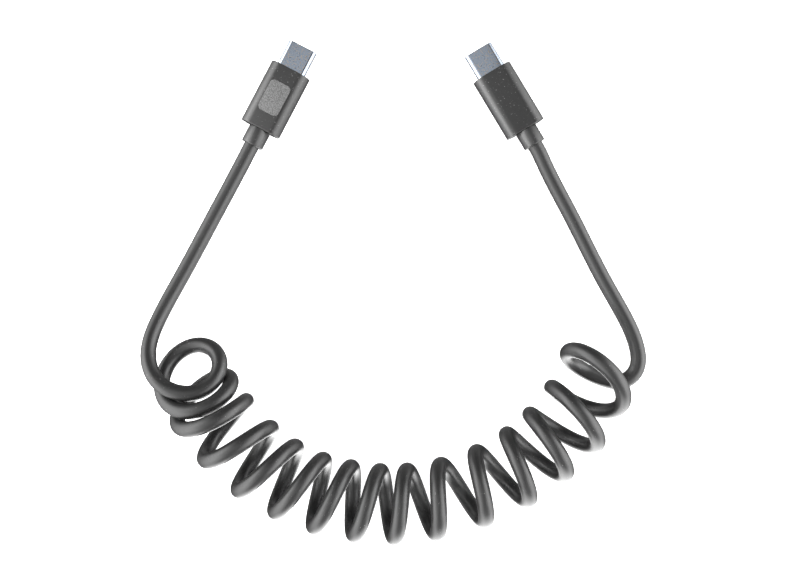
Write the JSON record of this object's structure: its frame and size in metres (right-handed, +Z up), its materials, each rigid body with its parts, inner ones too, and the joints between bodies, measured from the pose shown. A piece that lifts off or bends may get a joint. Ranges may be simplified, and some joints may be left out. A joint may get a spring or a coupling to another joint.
{
  "type": "coiled usb-c cable",
  "caption": "Curly charging and data cable with a flat reversible plug on each end, lying loose in a U.",
  "frame": {"origin": "on the surface that the cable lies on, midway between its two plugs", "axes": "+X from the left plug to the right plug, +Y the way the plugs point, +Z up from the surface"},
  "size_m": [0.136, 0.1357, 0.022],
  "materials": {
    "plated_steel": "satin plated, fine speckle",
    "contact_plastic": "matte",
    "grip_plastic": "fine matte grain",
    "collar_rubber": "matte",
    "cord_jacket": "satin"
  },
  "bodies": {
    "root": {"plug_shell_left": "plated_steel", "contact_block_left": "contact_plastic", "plug_housing_left": "grip_plastic", "strain_relief_left": "collar_rubber", "cord_lead_left": "cord_jacket", "cord_coil": "cord_jacket", "cord_lead_right": "cord_jacket", "strain_relief_right": "collar_rubber", "plug_housing_right": "grip_plastic", "contact_block_right": "contact_plastic", "plug_shell_right": "plated_steel"}
  },
  "joints": []
}
